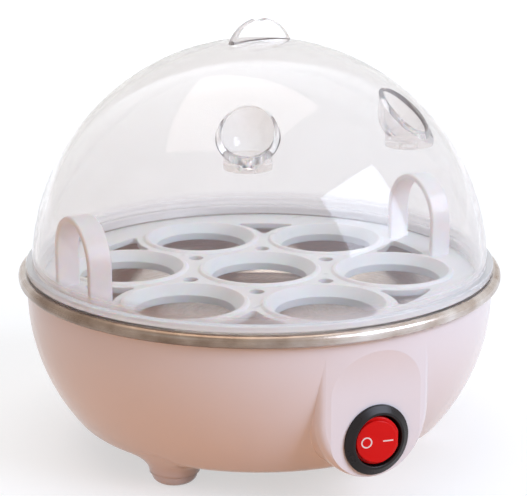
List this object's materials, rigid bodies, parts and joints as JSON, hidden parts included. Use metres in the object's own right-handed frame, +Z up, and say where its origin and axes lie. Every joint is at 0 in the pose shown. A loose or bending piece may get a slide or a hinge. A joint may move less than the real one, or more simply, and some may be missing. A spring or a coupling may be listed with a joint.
{
  "type": "egg cooker",
  "caption": "Small domed electric egg cooker: round white base with a rocker switch, steel water pan, lift-out egg tray with strap handles and a clear vented dome lid.",
  "frame": {"origin": "on the cooker's upright axis, in the plane that its feet stand on", "axes": "+Z up along the axis, -Y towards the front with the switch, +X to the right seen from the front"},
  "size_m": [0.166, 0.166, 0.1469],
  "materials": {
    "white_plastic": "glossy moulded",
    "clear_plastic": "clear, polished",
    "milky_plastic": "milky, slightly translucent",
    "steel": "fine brushed",
    "zinc_steel": "bright zinc",
    "aluminium": "satin",
    "amber_film": "thin film",
    "chip_ceramic": "matte",
    "dark_phenolic": "matte moulded",
    "brass": "plain",
    "white_nylon": "matte",
    "black_plastic": "satin",
    "red_plastic": "glossy",
    "mark_white": "painted line",
    "gland_rubber": "soft",
    "lead_red": "silicone sleeve",
    "lead_white": "silicone sleeve"
  },
  "bodies": {
    "base": {"base_shell": "white_plastic", "bottom_cover": "white_plastic", "clamp_nut_1": "zinc_steel", "clamp_nut_2": "zinc_steel", "clamp_stud_1": "zinc_steel", "clamp_stud_2": "zinc_steel", "clamp_washer_1": "zinc_steel", "clamp_washer_2": "zinc_steel", "cord_gland": "gland_rubber", "cover_screw_1": "zinc_steel", "cover_screw_2": "zinc_steel", "cover_screw_3": "zinc_steel", "crimp_cap_1": "white_nylon", "crimp_cap_2": "white_nylon", "fuse_lead": "lead_white", "fuse_nut": "zinc_steel", "fuse_saddle": "zinc_steel", "fuse_sleeve": "white_nylon", "fuse_stud": "zinc_steel", "heater_case": "aluminium", "heater_chip_1": "chip_ceramic", "heater_chip_2": "chip_ceramic", "heater_clamp": "zinc_steel", "heater_electrode_1": "aluminium", "heater_electrode_2": "aluminium", "heater_film": "amber_film", "heater_lead": "lead_red", "heating_pan": "steel", "line_terminal": "brass", "live_lead": "lead_red", "load_terminal": "brass", "neutral_lead": "lead_white", "switch_housing": "black_plastic", "switch_lead": "lead_red", "thermal_fuse": "aluminium", "thermostat_body": "dark_phenolic", "thermostat_collar": "zinc_steel", "thermostat_cup": "aluminium", "thermostat_nut_1": "zinc_steel", "thermostat_nut_2": "zinc_steel", "thermostat_stud_1": "zinc_steel", "thermostat_stud_2": "zinc_steel", "thermostat_terminal_1": "brass", "thermostat_terminal_2": "brass"},
    "tray": {"egg_tray": "milky_plastic"},
    "lid": {"lid_dome": "clear_plastic"},
    "rocker": {"switch_rocker": "red_plastic", "rocker_mark_off": "mark_white", "rocker_mark_on": "mark_white", "switch_plunger": "white_nylon", "switch_spring": "zinc_steel"},
    "contact": {"contact_blade": "brass"}
  },
  "joints": [
    {"name": "tray_lift", "type": "slide", "parent": "base", "child": "tray", "axis": [0, 0, 1], "range_m": [0, 0.1]},
    {"name": "lid_lift", "type": "slide", "parent": "tray", "child": "lid", "axis": [0, 0, 1], "range_m": [0, 0.12]},
    {"name": "rocker_tilt", "type": "hinge", "parent": "base", "child": "rocker", "pos_m": [0, -0.0762, 0.0238], "axis": [0, 0, 1], "range_deg": [0, 22]},
    {"name": "contact_tilt", "type": "hinge", "parent": "base", "child": "contact", "pos_m": [0, -0.06655, 0.0238], "axis": [0, 0, 1], "range_deg": [-16, 0]}
  ],
  "couplings": [
    {"joint": "contact_tilt", "follows": "rocker_tilt", "ratio": -0.7272}
  ]
}
